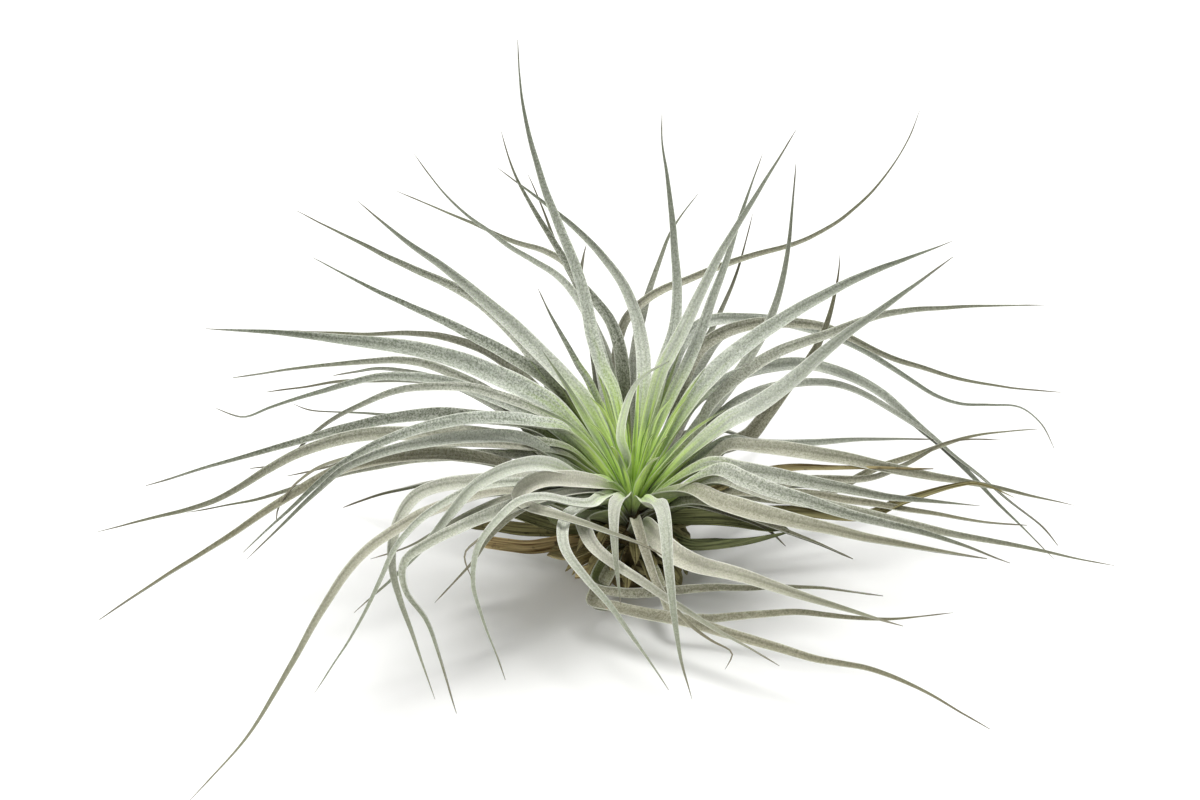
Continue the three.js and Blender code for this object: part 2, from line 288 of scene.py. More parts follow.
SECTION_VALUES = (("centre", "FLOAT_VECTOR", place), ("across_axis", "FLOAT_VECTOR", side),
                  ("up_axis", "FLOAT_VECTOR", up), ("half_width", "FLOAT", width), ("fold", "FLOAT", fold),
                  ("thickness", "FLOAT", thickness))
for name, kind, value in (("along", "FLOAT", along), ("run", "FLOAT", run)) + SECTION_VALUES:
    line = add(leaf, "GeometryNodeStoreNamedAttribute", {"Geometry": line, "Name": name, "Value": value},
               data_type=kind)

# The section: up one face from edge to edge and back under the other, closed all round.
loop = add(leaf, "GeometryNodeCurvePrimitiveCircle", {"Resolution": size["Sides"], "Radius": 1 * MM})
loop = add(leaf, "GeometryNodeStoreNamedAttribute",
           {"Geometry": loop, "Name": "turn", "Value": spline["Factor"]}, data_type="FLOAT")
blade = add(leaf, "GeometryNodeCurveToMesh", {"Curve": line, "Profile Curve": loop, "Fill Caps": True})
held = {name: add(leaf, "GeometryNodeInputNamedAttribute", {"Name": name}, data_type=kind)
        for name, kind, value in (("turn", "FLOAT", None),) + SECTION_VALUES}
from_middle = add(leaf, MATH, {0: held["turn"], 1: 0.5}, operation="SUBTRACT")
from_middle = add(leaf, MATH, {0: from_middle}, operation="ABSOLUTE")
even = add(leaf, MATH, {0: from_middle, 1: 4.0, 2: -1.0}, operation="MULTIPLY_ADD")
bunched = add(leaf, MATH, {0: even, 1: math.pi / 2}, **TIMES)
bunched = add(leaf, MATH, {0: bunched}, operation="SINE")
edge = add(leaf, MIX, {"Factor": 0.5, "A": even, "B": bunched})
upper = add(leaf, MATH, {0: held["turn"], 1: 0.5}, operation="LESS_THAN")
upper = add(leaf, MATH, {0: upper, 1: 2.0, 2: -1.0}, operation="MULTIPLY_ADD")
edge_squared = add(leaf, MATH, {0: edge, 1: edge}, **TIMES)
bulge = add(leaf, MATH, {0: 1.0, 1: edge_squared}, operation="SUBTRACT")
bulge = add(leaf, MATH, {0: bulge, 1: 0.0}, operation="MAXIMUM")
bulge = add(leaf, MATH, {0: bulge}, operation="SQRT")
across = add(leaf, MATH, {0: edge, 1: held["half_width"]}, **TIMES)
phase = add(leaf, MATH, {0: across, 1: size["Vein spacing"]}, operation="DIVIDE")
phase = add(leaf, MATH, {0: phase, 1: 2 * math.pi}, **TIMES)
vein = add(leaf, MATH, {0: phase}, operation="COSINE")
vein = add(leaf, MATH, {0: vein, 1: size["Vein height"]}, **TIMES)
half_thick = add(leaf, MATH, {0: held["thickness"], 1: 0.5, 2: vein}, operation="MULTIPLY_ADD")
half_thick = add(leaf, MATH, {0: half_thick, 1: bulge}, **TIMES)
off_middle = add(leaf, MATH, {0: half_thick, 1: upper}, **TIMES)
ROUNDING = 0.25  # the share of the half width over which the channel's floor is round
rounded = add(leaf, MATH, {0: edge_squared, 1: ROUNDING ** 2}, operation="ADD")
rounded = add(leaf, MATH, {0: rounded}, operation="SQRT")
rounded = add(leaf, RANGE, {"Value": rounded, "From Min": ROUNDING, "From Max": math.hypot(1, ROUNDING)})
fold_cos = add(leaf, MATH, {0: held["fold"]}, operation="COSINE")
fold_sin = add(leaf, MATH, {0: held["fold"]}, operation="SINE")
rise = add(leaf, MATH, {0: rounded, 1: fold_sin}, **TIMES)
rise = add(leaf, MATH, {0: rise, 1: held["half_width"], 2: off_middle}, operation="MULTIPLY_ADD")
reach = add(leaf, MATH, {0: across, 1: fold_cos}, **TIMES)
spot = held["centre"]
for direction, amount in (("across_axis", reach), ("up_axis", rise)):
    shift = add(leaf, VECTOR, {0: held[direction], "Scale": amount}, operation="SCALE")
    spot = add(leaf, VECTOR, {0: spot, 1: shift}, operation="ADD")
face = add(leaf, MATH, {0: bulge, 1: upper}, **TIMES)
for name, value in (("across", across), ("edge", edge), ("face", face), ("tone", size["Tone"]),
                    ("youth", size["Youth"]), ("dry_tip", size["Dry tip"])):
    blade = add(leaf, "GeometryNodeStoreNamedAttribute",
                {"Geometry": blade, "Name": name, "Value": value}, data_type="FLOAT")
blade = add(leaf, "GeometryNodeSetPosition", {"Geometry": blade, "Position": spot})
for name in (*held, "side_axis"):
    blade = add(leaf, "GeometryNodeRemoveAttribute", {"Geometry": blade, "Name": name})
blade = add(leaf, "GeometryNodeSetShadeSmooth", {"Geometry": blade})
blade = add(leaf, "GeometryNodeRealizeInstances", {"Geometry": blade})
blade = add(leaf, "GeometryNodeSetMaterial", {"Geometry": blade, "Material": size["Material"]})
add(leaf, "NodeGroupOutput", {"Blade": blade})


def run_tree(node_tree, mesh, **values):
    """The plain mesh that a node tree makes of a mesh, with its named inputs set."""
    maker = add_object("maker", mesh)
    modifier = maker.modifiers.new("grow", "NODES")
    modifier.node_group = node_tree
    for item in node_tree.interface.items_tree:
        key = item.name.replace(" ", "_")
        if item.in_out == "INPUT" and key in values:
            modifier[item.identifier] = values[key]
    depsgraph = bpy.context.evaluated_depsgraph_get()
    made = bpy.data.meshes.new_from_object(maker.evaluated_get(depsgraph), depsgraph=depsgraph)
    maker.modifiers.remove(modifier)
    bpy.data.objects.remove(maker)
    return made


def midrib_mesh(points, sides):
    """The midrib as a chain of edges that carries the direction across the blade."""
    mesh = bpy.data.meshes.new("midrib")
    mesh.from_pydata([tuple(p) for p in points], [(i, i + 1) for i in range(len(points) - 1)], [])
    axis = mesh.attributes.new("side_axis", "FLOAT_VECTOR", "POINT")
    axis.data.foreach_set("vector", [value for side in sides for value in side])
    return mesh


SHEATH_REACH = 22 * MM  # the clasping base takes the place of this much of a path
SINK_REACH = 40 * MM  # a path that sinks is back in its place after this much
ROOT_RADII = (4.0, 1.6)  # in mm, for the oldest leaf and the youngest, as are the next three
ROOT_CLIMBS = (20, 66)  # in degrees, from the root to the path
LOWEST_ROOTS = (11, 26)
HIGHEST_ROOTS = (27, 30)
NECK_PLACE = 0.45  # the share of the way from the root to the path
NECK_ARCH = 0.06  # its height above that line, as a share of the line


def with_sheath(points, sides, youth, sink=0.0):
    """The path with its clasping base, which rises from the middle of the crown: steeply in a young leaf."""
    skip, run = 0, 0
    while run < SHEATH_REACH and skip < len(points) - 2:
        run += (points[skip + 1] - points[skip]).length
        skip += 1
    clear = points[skip]
    radius = math.hypot(clear.x, clear.y)
    outward = Vector((clear.x / radius, clear.y / radius, 0))
    inner = between(*ROOT_RADII, youth) * MM
    climb = (radius - inner) * math.tan(math.radians(between(*ROOT_CLIMBS, youth)))
    height = max(clear.z - climb, between(*LOWEST_ROOTS, youth) * MM)
    height = min(height, between(*HIGHEST_ROOTS, youth) * MM)
    root = outward * inner + Vector((0, 0, height))
    neck = root.lerp(clear, NECK_PLACE) + Vector((0, 0, NECK_ARCH * (clear - root).length))
    path, run = [root, neck], 0
    for i in range(skip, len(points)):
        path.append(points[i] - Vector((0, 0, sink * (1 - smooth_step(run / SINK_REACH)))))
        run += (points[min(i + 1, len(points) - 1)] - points[i]).length
    return path, [sides[skip]] * 2 + sides[skip:]


# The felt: silvery scales over green skin, which give a pale matt grain with darker gaps. They thin out to
# bare yellow-green in the heart, stand in streaks along the veins, and edge each margin with a white line.
# The grain is drawn from 0.6 mm down, about twice the real scales, so that it shows.
GROOVE_GREEN = "#4a7c04"  # the skin between the veins, where it is bare
HEART_SHADE_BROWN = "#4a4524"  # painted shade: the skin low in the heart, where no light reaches
AGED_SKIN = "#5e5a3e"
# Painted shade: the underside's colours are darker than the upper face's, as if turned from the light, and
# darker still over the inner part of the blade, deep in the rosette.
SHADED_UNDER_SKINS = ("#393d28", "#30370a")  # the underside's, on the outer and the inner part of the blade
SHADED_UNDER_FELTS = ("#8b8e78", "#5b612c")
AGED_FELT = "#bdb9a0"
WARM_FELT = "#cfc7b3"  # on a leaf whose tip dries early
FRESH_FELT = "#e8ede0"
TINGED_FELT = "#f0fbc4"  # where the green shines through
MARGIN_FELT = "#eceee2"


def felt_material(name, felt, gap, end_gap, young_base, old_base, dry, greenness):
    """A leaf's surface, from the colour of its scales, of its skin between them in the middle and near the
    tip, of its bare base in a young leaf and in an old one, and of its dry tip, and how green its base is."""
    material, tree, shader = start_material(name, Roughness=0.8, Specular_IOR_Level=0.25, Sheen_Weight=0.12,
                                            Sheen_Roughness=0.5, Subsurface_Weight=0.06,
                                            Subsurface_Radius=(0.6, 1.0, 0.3), Subsurface_Scale=0.8 * MM)
    place = add(tree, "ShaderNodeTexCoord").outputs["Object"]
    held = {key: add(tree, "ShaderNodeAttribute", attribute_name=key).outputs["Fac"]
            for key in ("along", "run", "across", "edge", "face", "tone", "youth", "dry_tip")}
    scales = add(tree, NOISE, {"Vector": place, "Scale": 1 / (0.6 * MM), "Detail": 3, "Roughness": 0.85})
    clumps = add(tree, NOISE, {"Vector": place, "Scale": 1 / (5 * MM), "Detail": 2})
    lengthwise = add(tree, MATH, {0: held["run"], 1: 16 * MM}, operation="DIVIDE")
    crosswise = add(tree, MATH, {0: held["across"], 1: 0.65 * MM}, operation="DIVIDE")
    vein_place = add(tree, "ShaderNodeCombineXYZ", {"X": lengthwise, "Y": crosswise, "Z": held["tone"]})
    streaks = add(tree, NOISE, {"Vector": vein_place, "Scale": 1.0, "Detail": 3})

    # The green of the skin: bright and far up the blade on a young leaf, dull and short on an old one, and
    # darkened to brown low in the heart with painted shade.
    reach = add(tree, RANGE, {"Value": held["youth"], "From Min": 0.2, "From Max": 1.0, "To Min": 27 * MM,
                              "To Max": 54 * MM})
    ragged = add(tree, RANGE, {"Value": streaks, "From Min": 0.3, "From Max": 0.7, "To Min": 0.7,
                               "To Max": 1.3})
    reach = add(tree, MATH, {0: reach, 1: ragged}, **TIMES)
    green_part = add(tree, MATH, {0: held["run"], 1: reach}, operation="DIVIDE")
    green_part = add(tree, RANGE, {"Value": green_part, "From Min": 0.12, "From Max": 1.0,
                                   "To Min": greenness, "To Max": 0.0}, **EASED)
    ripe = add(tree, RANGE, {"Value": held["youth"], "From Min": 0.2, "From Max": 0.65})
    green = add(tree, MIX, {"Factor": ripe, "A": linear(old_base), "B": linear(young_base)}, **COLOURS)
    deep = add(tree, RANGE, {"Value": streaks, "From Min": 0.38, "From Max": 0.55, "To Min": 0.1})
    hollow = add(tree, MATH, {0: held["edge"], 1: held["edge"]}, **TIMES)
    hollow = add(tree, RANGE, {"Value": hollow, "From Max": 0.5, "To Min": 0.55, "To Max": 1.0})
    deep = add(tree, MATH, {0: deep, 1: hollow}, **TIMES)
    green = add(tree, MIX, {"Factor": deep, "A": linear(GROOVE_GREEN), "B": green}, **COLOURS)
    height = add(tree, "ShaderNodeSeparateXYZ", {"Vector": place}).outputs["Z"]
    # Painted shade: below 25 to 31 mm the skin darkens to brown.
    painted_heart_shade = add(tree, RANGE, {"Value": height, "From Min": 31 * MM, "From Max": 25 * MM}, **EASED)
    green = add(tree, MIX, {"Factor": painted_heart_shade, "A": green, "B": linear(HEART_SHADE_BROWN)}, **COLOURS)

    # How closely the scales cover the skin: less in streaks, in patches, where the tone is low, over the
    # green base, towards the tip and along the channel.
    cover = add(tree, RANGE, {"Value": scales, "From Min": 0.41, "From Max": 0.57})
    faintest = add(tree, MATH, {0: green_part, 1: -0.4, 2: 0.68}, operation="MULTIPLY_ADD")
    streaky = add(tree, RANGE, {"Value": streaks, "From Min": 0.4, "From Max": 0.56, "To Min": faintest,
                                "To Max": 1.0})
    patchy = add(tree, RANGE, {"Value": clumps, "From Min": 0.3, "From Max": 0.7, "To Min": 0.8})
    for factor in (streaky, patchy):
        cover = add(tree, MATH, {0: cover, 1: factor}, **TIMES)
    bare = add(tree, RANGE, {"Value": held["tone"], "To Min": 0.12, "To Max": 0.62})
    cover = add(tree, RANGE, {"Value": cover, "To Min": bare, "To Max": 1.0})
    thinner = add(tree, MATH, {0: green_part, 1: -0.74, 2: 1.0}, operation="MULTIPLY_ADD")
    outer = add(tree, RANGE, {"Value": held["along"], "From Min": 0.35, "From Max": 0.85, "To Min": 1.0,
                              "To Max": 0.3})
    along_channel = add(tree, RANGE, {"Value": hollow, "From Min": 0.55, "To Min": 0.72})
    for factor in (thinner, outer, along_channel):
        cover = add(tree, MATH, {0: cover, 1: factor}, **TIMES)

    # Painted shade: the underside is darkened, less on a young leaf, and so is the inner part of a leaf of
    # tone 0, on both faces.
    under = add(tree, RANGE, {"Value": held["face"], "From Min": 0.2, "From Max": -0.2})
    shaded = add(tree, RANGE, {"Value": held["youth"], "From Min": 0.5, "From Max": 1.0, "To Min": 1.0,
                               "To Max": 0.35})
    under = add(tree, MATH, {0: under, 1: shaded}, **TIMES)
    inner = add(tree, RANGE, {"Value": held["run"], "From Min": 20 * MM, "From Max": 75 * MM, "To Min": 1.0,
                              "To Max": 0.0}, **EASED)
    # Painted shade on a leaf of tone 0: its inner part turns dark olive on both faces.
    wear_and_painted_shade = add(tree, RANGE, {"Value": held["tone"], "From Min": 0.09, "From Max": 0.01})
    wear_and_painted_shade = add(tree, MATH, {0: wear_and_painted_shade, 1: inner}, **TIMES)
    under = add(tree, MATH, {0: under, 1: wear_and_painted_shade}, operation="MAXIMUM")
    shaded_under_skin, shaded_under_felt = (
        add(tree, MIX, {"Factor": inner, "A": linear(far), "B": linear(near)}, **COLOURS)
        for far, near in (SHADED_UNDER_SKINS, SHADED_UNDER_FELTS))

    # The colours, each laid over the one before by its share. The tip dries first, with no felt left.
    aged = add(tree, RANGE, {"Value": held["youth"], "From Min": 0.1, "From Max": 0.6, "To Min": 0.75,
                             "To Max": 0.0}, **EASED)
    near_end = add(tree, RANGE, {"Value": held["along"], "From Min": 0.25, "From Max": 0.75})
    warm = add(tree, RANGE, {"Value": held["dry_tip"], "From Min": 0.04, "From Max": 0.3, "To Max": 0.55})
    fresh = add(tree, RANGE, {"Value": held["youth"], "From Min": 0.3, "From Max": 0.8, "To Max": 0.7})
    tinged = add(tree, MATH, {0: green_part, 1: 0.5}, **TIMES)
    margin = add(tree, MATH, {0: held["edge"]}, operation="ABSOLUTE")
    margin = add(tree, RANGE, {"Value": margin, "From Min": 0.86, "From Max": 0.97, "To Max": 0.5})
    dry_from = add(tree, MATH, {0: 1.0, 1: held["dry_tip"]}, operation="SUBTRACT")
    dried = add(tree, RANGE, {"Value": held["along"], "From Min": dry_from, "From Max": 1.0})
    skin = linear(gap)
    for share, layer in ((near_end, linear(end_gap)), (aged, linear(AGED_SKIN)), (under, shaded_under_skin),
                         (green_part, green)):
        skin = add(tree, MIX, {"Factor": share, "A": skin, "B": layer}, **COLOURS)
    silver = linear(felt)
    for share, layer in ((aged, linear(AGED_FELT)), (warm, linear(WARM_FELT)), (fresh, linear(FRESH_FELT)),
                         (under, shaded_under_felt), (tinged, linear(TINGED_FELT))):
        silver = add(tree, MIX, {"Factor": share, "A": silver, "B": layer}, **COLOURS)
    colour = skin
    for share, layer in ((cover, silver), (margin, linear(MARGIN_FELT)), (dried, linear(dry))):
        colour = add(tree, MIX, {"Factor": share, "A": colour, "B": layer}, **COLOURS)
    grain = add(tree, MIX, {"Factor": 0.4, "A": scales.outputs["Fac"], "B": streaks.outputs["Fac"]})
    relief = add(tree, "ShaderNodeBump", {"Height": grain, "Strength": 0.7, "Distance": 0.15 * MM})
    finish_surface(tree, shader, colour, relief)
    return material


grey_felt = felt_material("silver_grey_leaf_felt", felt="#d8dbd0", gap="#565f4b", end_gap="#434833",
                          young_base="#d8f86e", old_base="#4c5728", dry="#554d3a", greenness=1.0)
pale_felt = felt_material("pale_leaf_felt", felt="#f0efe6", gap="#8f9581", end_gap="#6d735d",
                          young_base="#d2f277", old_base="#8fa64e", dry="#6b6350", greenness=0.85)

# ----------------------------------------------------------
# The leaves that the CAD model has: each blade follows its own node's midrib, from the seat to the tip. The
# oldest grow lowest. The front ones are paler, because they stand nearest the light.

SEAT_WIDTH = 3.2 * MM  # how the CAD blades open from their seats and taper, to tell their full width
OPENS_OVER = 40 * MM
TAPERS_FROM = 0.35
TAPER_POWER = 0.9
CROWN_CENTRE = 16 * MM
CROWN_RADIUS = 11 * MM
CROWN_HALF_HEIGHT = 21 * MM
SEAT_ANGLES = (-22, 72)  # on the crown, in degrees above its centre: the oldest leaf and the youngest


def sections_from(tip):
    """A CAD blade's sections of four corners, from its tip back, or None if this isn't the tip."""
    sections, seen = [], {tip}
    ring = {tip}
    while True:
        ring = {edge.other_vert(corner) for corner in ring for edge in corner.link_edges} - seen
        if not ring:
            return sections if len(seen) == 1 + 4 * len(sections) else None
        if len(ring) != 4:
            return None
        sections.append(list(ring))
        seen |= ring


def read_blade(node):
    """A CAD blade's midrib points from its seat to its tip, the way across at each, and its full width."""
    solid = bmesh.new()
    solid.from_mesh(node.data)
    bmesh.ops.remove_doubles(solid, verts=solid.verts, dist=1e-6)
    for tip in solid.verts:
        sections = sections_from(tip) if len(tip.link_edges) == 4 else None
        if sections:
            break
    points, across, lift = [], [], []
    for corners in reversed(sections):
        apart = next((a, b) for a in corners for b in corners
                     if a is not b and not any(edge.other_vert(a) is b for edge in a.link_edges))
        pairs = [apart, tuple(corner for corner in corners if corner not in apart)]
        ribs, edges = sorted(pairs, key=lambda pair: (pair[0].co - pair[1].co).length)
        points.append((ribs[0].co + ribs[1].co) / 2)
        across.append(edges[1].co - edges[0].co)
        lift.append((edges[0].co + edges[1].co) / 2 - points[-1])
    points.append(tip.co.copy())
    solid.free()
    runs = [0]
    for a, b in zip(points, points[1:]):
        runs.append(runs[-1] + (b - a).length)
    sides, widths = [], []
    for i, way in enumerate(across):
        forward = points[i + 1] - points[i]
        if forward.cross(way).dot(lift[i]) < 0:
            way = -way
        opening = smooth_step(runs[i] / OPENS_OVER)
        taper = min(1, (1 - runs[i] / runs[-1]) / (1 - TAPERS_FROM)) ** TAPER_POWER
        full = (way.length - SEAT_WIDTH * (1 - opening)) / max(opening * taper, 1e-3)
        widths.append((opening * taper, full))
        sides.append(way.normalized())
    sides.append(sides[-1])
    return points, sides, max(widths)[1]


def age_share(seat):
    """How young a leaf is, from 0 for the oldest to 1, by the height of its seat on the crown."""
    angle = math.degrees(math.asin(min(1, max(-1, (seat.z - CROWN_CENTRE) / CROWN_HALF_HEIGHT))))
    return (angle - SEAT_ANGLES[0]) / (SEAT_ANGLES[1] - SEAT_ANGLES[0])


GOLDEN_SHARE = 0.6180339887


def scatter(number, low, high):
    """A fixed spread of values between two limits, one for each whole number."""
    return between(low, high, number * GOLDEN_SHARE % 1)


def squared(side, forward):
    """The way across a blade, turned square to the way forward."""
    return (side - forward * side.dot(forward)).normalized()


VIEW_ELEVATION = math.radians(25)  # how far down the camera looks
VIEW_DISTANCE = 680 * MM
HEART_HEIGHT = 30 * MM
AIM_LEFT = 9.5 * MM  # where it aims, left of the heart and above it as it sees them
AIM_ABOVE = 27.5 * MM
AHEAD = Vector((0, math.cos(VIEW_ELEVATION), -math.sin(VIEW_ELEVATION)))
UPWARD = Vector((0, math.sin(VIEW_ELEVATION), math.cos(VIEW_ELEVATION)))
AIM = Vector((-AIM_LEFT, 0, HEART_HEIGHT)) + UPWARD * AIM_ABOVE
CAMERA_PLACE = AIM - AHEAD * VIEW_DISTANCE
ROLL_SHARE = 0.6  # how much of the way to the light a blade turns, at this share of its points
ROLL_PLACE = 0.45
MOST_ROLL = math.radians(42)
SHEATH_FLARES = (1.1, 0.58)  # the oldest leaf's, and that of each leaf whose youth is SLIM_FROM or more
SLIM_FROM = 0.5


def roll_to_light(points, sides):
    """How far a blade turns its channel to the front, where the light comes from."""
    middle = int(ROLL_PLACE * len(points))
    forward = (points[middle + 1] - points[middle]).normalized()
    side = squared(sides[middle], forward)
    to_front = CAMERA_PLACE - points[middle]
    angle = math.atan2(-to_front.dot(side), to_front.dot(forward.cross(side)))
    return max(-MOST_ROLL, min(MOST_ROLL, ROLL_SHARE * angle))


def grow_leaf(name, points, sides, width, material, slot, nodes=(), youth=0.1, sink=0.0, **values):
    """Makes a blade along its path and ties it to the frame. A young one is slim near the heart."""
    values.setdefault("Roll", roll_to_light(points, sides))
    values.setdefault("Sheath_flare", between(*SHEATH_FLARES, smooth_step(youth / SLIM_FROM)))
    points, sides = with_sheath(points, sides, youth, sink)
    mesh = run_tree(leaf, midrib_mesh(points, sides), Width=width, Material=material, Youth=youth, **values)
    mesh.name = name
    place_piece(name, mesh, nodes)


LEAF_KINDS = {  # material, slot, and the limits of the tone, from sparse dark felt to dense pale felt
    "left_leaf": (grey_felt, "leaf_grey_green", (0.1, 0.65)),
    "right_leaf": (grey_felt, "leaf_grey_green", (0.2, 0.85)),
    "back_leaf": (grey_felt, "leaf_grey_green", (0.2, 0.65)),
    "front_leaf": (pale_felt, "leaf_pale", (0.4, 0.9)),
}
OLD_BELOW = 0.23  # the age share of the leaves that have lost some felt
OLD_TONES = (0.15, 0.45)
SHADE_PAINTED_LEAVES = ("left_leaf_08", "left_leaf_09", "back_leaf_05")  # painted shade: dark olive over their inner part, on both faces
FULLER = 1.1  # the real blades are broader than the slim CAD ones
BREADTH = {"back_leaf_04": 0.72, "front_leaf_09": 1.35}  # those that aren't as broad as their CAD blades say
SINK = {"front_leaf": 4 * MM}  # the front leaves fall from the heart at once
seed = 0
for name in sorted(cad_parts):
    kind = name[:-3]
    if kind not in LEAF_KINDS:
        continue
    seed += 1
    material, slot, tones = LEAF_KINDS[kind]
    points, sides, width = read_blade(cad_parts[name])
    youth = age_share(points[0])
    if youth < OLD_BELOW:
        material, tones = grey_felt, OLD_TONES
    width *= FULLER * BREADTH.get(name, 1)
    tone = 0 if name in SHADE_PAINTED_LEAVES else scatter(seed, *tones)
    grow_leaf(name.replace("leaf", "blade"), points, sides, width, material, slot, [name], Seed=seed,
              youth=youth, sink=SINK.get(kind, 0), Tone=tone, Twist=scatter(seed + 7, -0.4, 0.4),
              Dry_tip=scatter(seed + 3, 0.03, 0.14))

# ----------------------------------------------------------
# More leaves of the same kind, between those of the CAD model: thin ones, hooked dry tips, and the young ones
# still curled in the heart. Each grows from the crown at its own place round it and height.

LAUNCH_PITCHES = (12, 78)  # degrees above level at which the oldest leaf starts and the youngest
LAUNCH = 7 * MM
SEAT_GAP = 0.45 * MM
LOWEST = 0.8 * MM  # a leaf that would pass below the table bends along it


def seen_at(right, above, behind):
    """The point that the camera sees this far right of the heart and above it, at this y, all in mm."""
    rise = (above * MM - AIM_ABOVE) / VIEW_DISTANCE
    distance = (behind * MM - AIM.y + VIEW_DISTANCE * AHEAD.y) / (AHEAD.y + rise * UPWARD.y)
    spot = AIM + UPWARD * rise * distance + AHEAD * (distance - VIEW_DISTANCE)
    spot.x += (right * MM + AIM_LEFT) * distance / VIEW_DISTANCE
    spot.z = max(spot.z, LOWEST)
    return spot


def heading(azimuth, pitch):
    """The direction at an azimuth (0 is right, 90 is back) and a pitch above level, both in degrees."""
    azimuth, pitch = math.radians(azimuth), math.radians(pitch)
    return Vector((math.cos(azimuth) * math.cos(pitch), math.sin(azimuth) * math.cos(pitch), math.sin(pitch)))


def free_path(azimuth, youth, route):
    """A path from a seat on the crown through the points of a route, and the way across at each."""
    angle = math.radians(between(*SEAT_ANGLES, youth))
    slope = math.tan(angle) * CROWN_RADIUS / CROWN_HALF_HEIGHT
    outward = heading(azimuth, math.degrees(math.atan(slope)))
    seat = heading(azimuth, 0) * (CROWN_RADIUS * math.cos(angle))
    seat.z = CROWN_CENTRE + CROWN_HALF_HEIGHT * math.sin(angle)
    seat += outward * SEAT_GAP
    launch = heading(azimuth, between(*LAUNCH_PITCHES, youth))
    points = [seat, seat + launch * LAUNCH + outward * LAUNCH / 4]
    points += [seen_at(*spot) for spot in route]
    side = Vector((0, 0, 1)).cross(outward).normalized()
    sides = []
    for i, point in enumerate(points):
        forward = (points[min(i + 1, len(points) - 1)] - points[max(i - 1, 0)]).normalized()
        side = squared(side, forward)
        sides.append(side)
    return points, sides


# Azimuth in degrees, youth, width in mm, tone, and the route as the camera sees it.
MORE_LEAVES = (
    (172, 0.45, 4.0, 0.4, (-25, 22, 4), (-55, 32, 8), (-84, 33, 12), (-99, 31, 12), (-109, 30, 12)),
    (178, 0.55, 2.6, 0.5, (-25, 18, 2), (-48, 22, 4), (-69, 22.7, 5), (-87, 24, 6), (-96, 24.5, 6),
     (-101, 26.3, 6)),
    (185, 0.6, 4.4, 0.3, (-22, 20, 0), (-40, 28, -3), (-51, 31, -5), (-69, 30, -6), (-84, 24, -6),
     (-95, 17, -6), (-104, 9, -6), (-114, 7, -6)),
    (205, 0.5, 4.0, 0.3, (-24, 14, -8), (-55, 14, -16), (-78, 11, -22), (-91, 7.5, -25), (-103, 5, -27)),
    (200, 0.35, 4.0, 0.4, (-26, 10, -8), (-60, 10, -14), (-80, 7, -17), (-99, 1.2, -19), (-111, -2, -20),
     (-123, -4, -20), (-133, -6, -20)),
    (212, 0.4, 4.2, 0.5, (-26, 12, -10), (-60, 14, -24), (-88, 9, -34), (-99, 3.6, -38), (-105, -4, -40),
     (-106, -9, -41)),
    (228, 0.4, 3.6, 0.6, (-18, 2, -22), (-40, -3, -40), (-57, -11, -50), (-66, -16, -56), (-78, -20, -60)),
    (238, 0.55, 4.2, 0.8, (-14, 0, -30), (-34.9, -5.4, -52), (-45.4, -14.3, -66), (-49.6, -18.8, -70),
     (-47.8, -25.7, -74)),
    (235, 0.3, 3.6, 0.2, (-14, -2, -18), (-30, -4, -34), (-42, -13, -48), (-48, -22, -55), (-59, -33, -62)),
    (215, 0.35, 7.6, 0.9, (-14, 2, -26), (-25, 3, -38), (-31.5, 1.5, -44), (-34.5, -2, -48), (-31, -5, -50),
     (-20, -8.3, -53), (-8, -11.8, -56), (3, -15.7, -58), (10, -19.5, -59)),
    (282, 0.25, 3.8, 0.5, (2, -10, -30), (8, -28, -50), (17, -39, -62), (23, -44, -67), (29, -47, -70),
     (30, -49, -71), (28, -53, -73)),
    (330, 0.15, 5.4, 0.2, (20, -4, -10), (38, -10, -16), (46, -16, -18)),
    (318, 0.20, 4.2, 0.3, (22, -4, -12), (44, -11, -18), (66, -20, -26)),
    (8, 0.35, 4.0, 0.4, (20, 6, 2), (50, 3, 6), (70, 4, 8), (81.5, 8, 10), (95, 15, 10), (110, 15.5, 10)),
    (25, 0.6, 3.6, 0.6, (16, 18, 8), (34, 28, 18), (60, 32, 26), (84, 20, 26), (98, 9, 22), (105, 3.6, 18),
     (113, -3, 14), (122, -10, 10), (127, -16, 8)),
    (68, 0.55, 4.0, 0.5, (8, 24, 30), (14, 33, 48), (20, 42, 60), (26, 53, 68), (32, 68, 78), (36, 83, 85)),
    (105, 0.6, 4.4, 0.5, (-3, 26, 30), (-8, 42, 52), (-13, 54, 66), (-17, 62, 74), (-21, 70, 80),
     (-26, 83, 86), (-31, 95, 90)),
    (100, 0.7, 3.6, 0.4, (-3, 18, 16), (-4, 28, 24), (-5.7, 36.4, 32), (-10.1, 48.4, 42)),
    (250, 0.97, 4.4, 0.95, (-1, 4, -8), (-0.8, 11, -11), (-3, 16, -11), (-2, 23, -7), (1, 31, 0),
     (5, 35.5, 6), (11, 39, 12)),
    (300, 0.97, 3.4, 0.6, (2, 7, -4), (7, 21.5, 0), (12, 28, 4)),
)
CURLED_FROM = 0.9  # the youth of the two curled leaves of the heart, which turn their channel to the front
CURLED_ROLL = 2.9
CURLED_DRY_TIP = 0.02
PALE_BEFORE = -30 * MM  # a leaf that comes further forward than this is pale
for number, (azimuth, youth, width, tone, *route) in enumerate(MORE_LEAVES, 1):
    points, sides = free_path(azimuth, youth, route)
    curled = youth > CURLED_FROM
    roll = {"Roll": CURLED_ROLL} if curled else {}
    pale = curled or points[-1].y < PALE_BEFORE
    material, slot = (pale_felt, "leaf_pale") if pale else (grey_felt, "leaf_grey_green")
    grow_leaf(f"slender_blade_{number:02d}", points, sides, FULLER * width * MM, material, slot,
              Seed=100 + number, youth=youth, Tone=tone, Twist=scatter(number, -0.5, 0.5),
              Dry_tip=CURLED_DRY_TIP if curled else scatter(number, 0.1, 0.35), **roll)

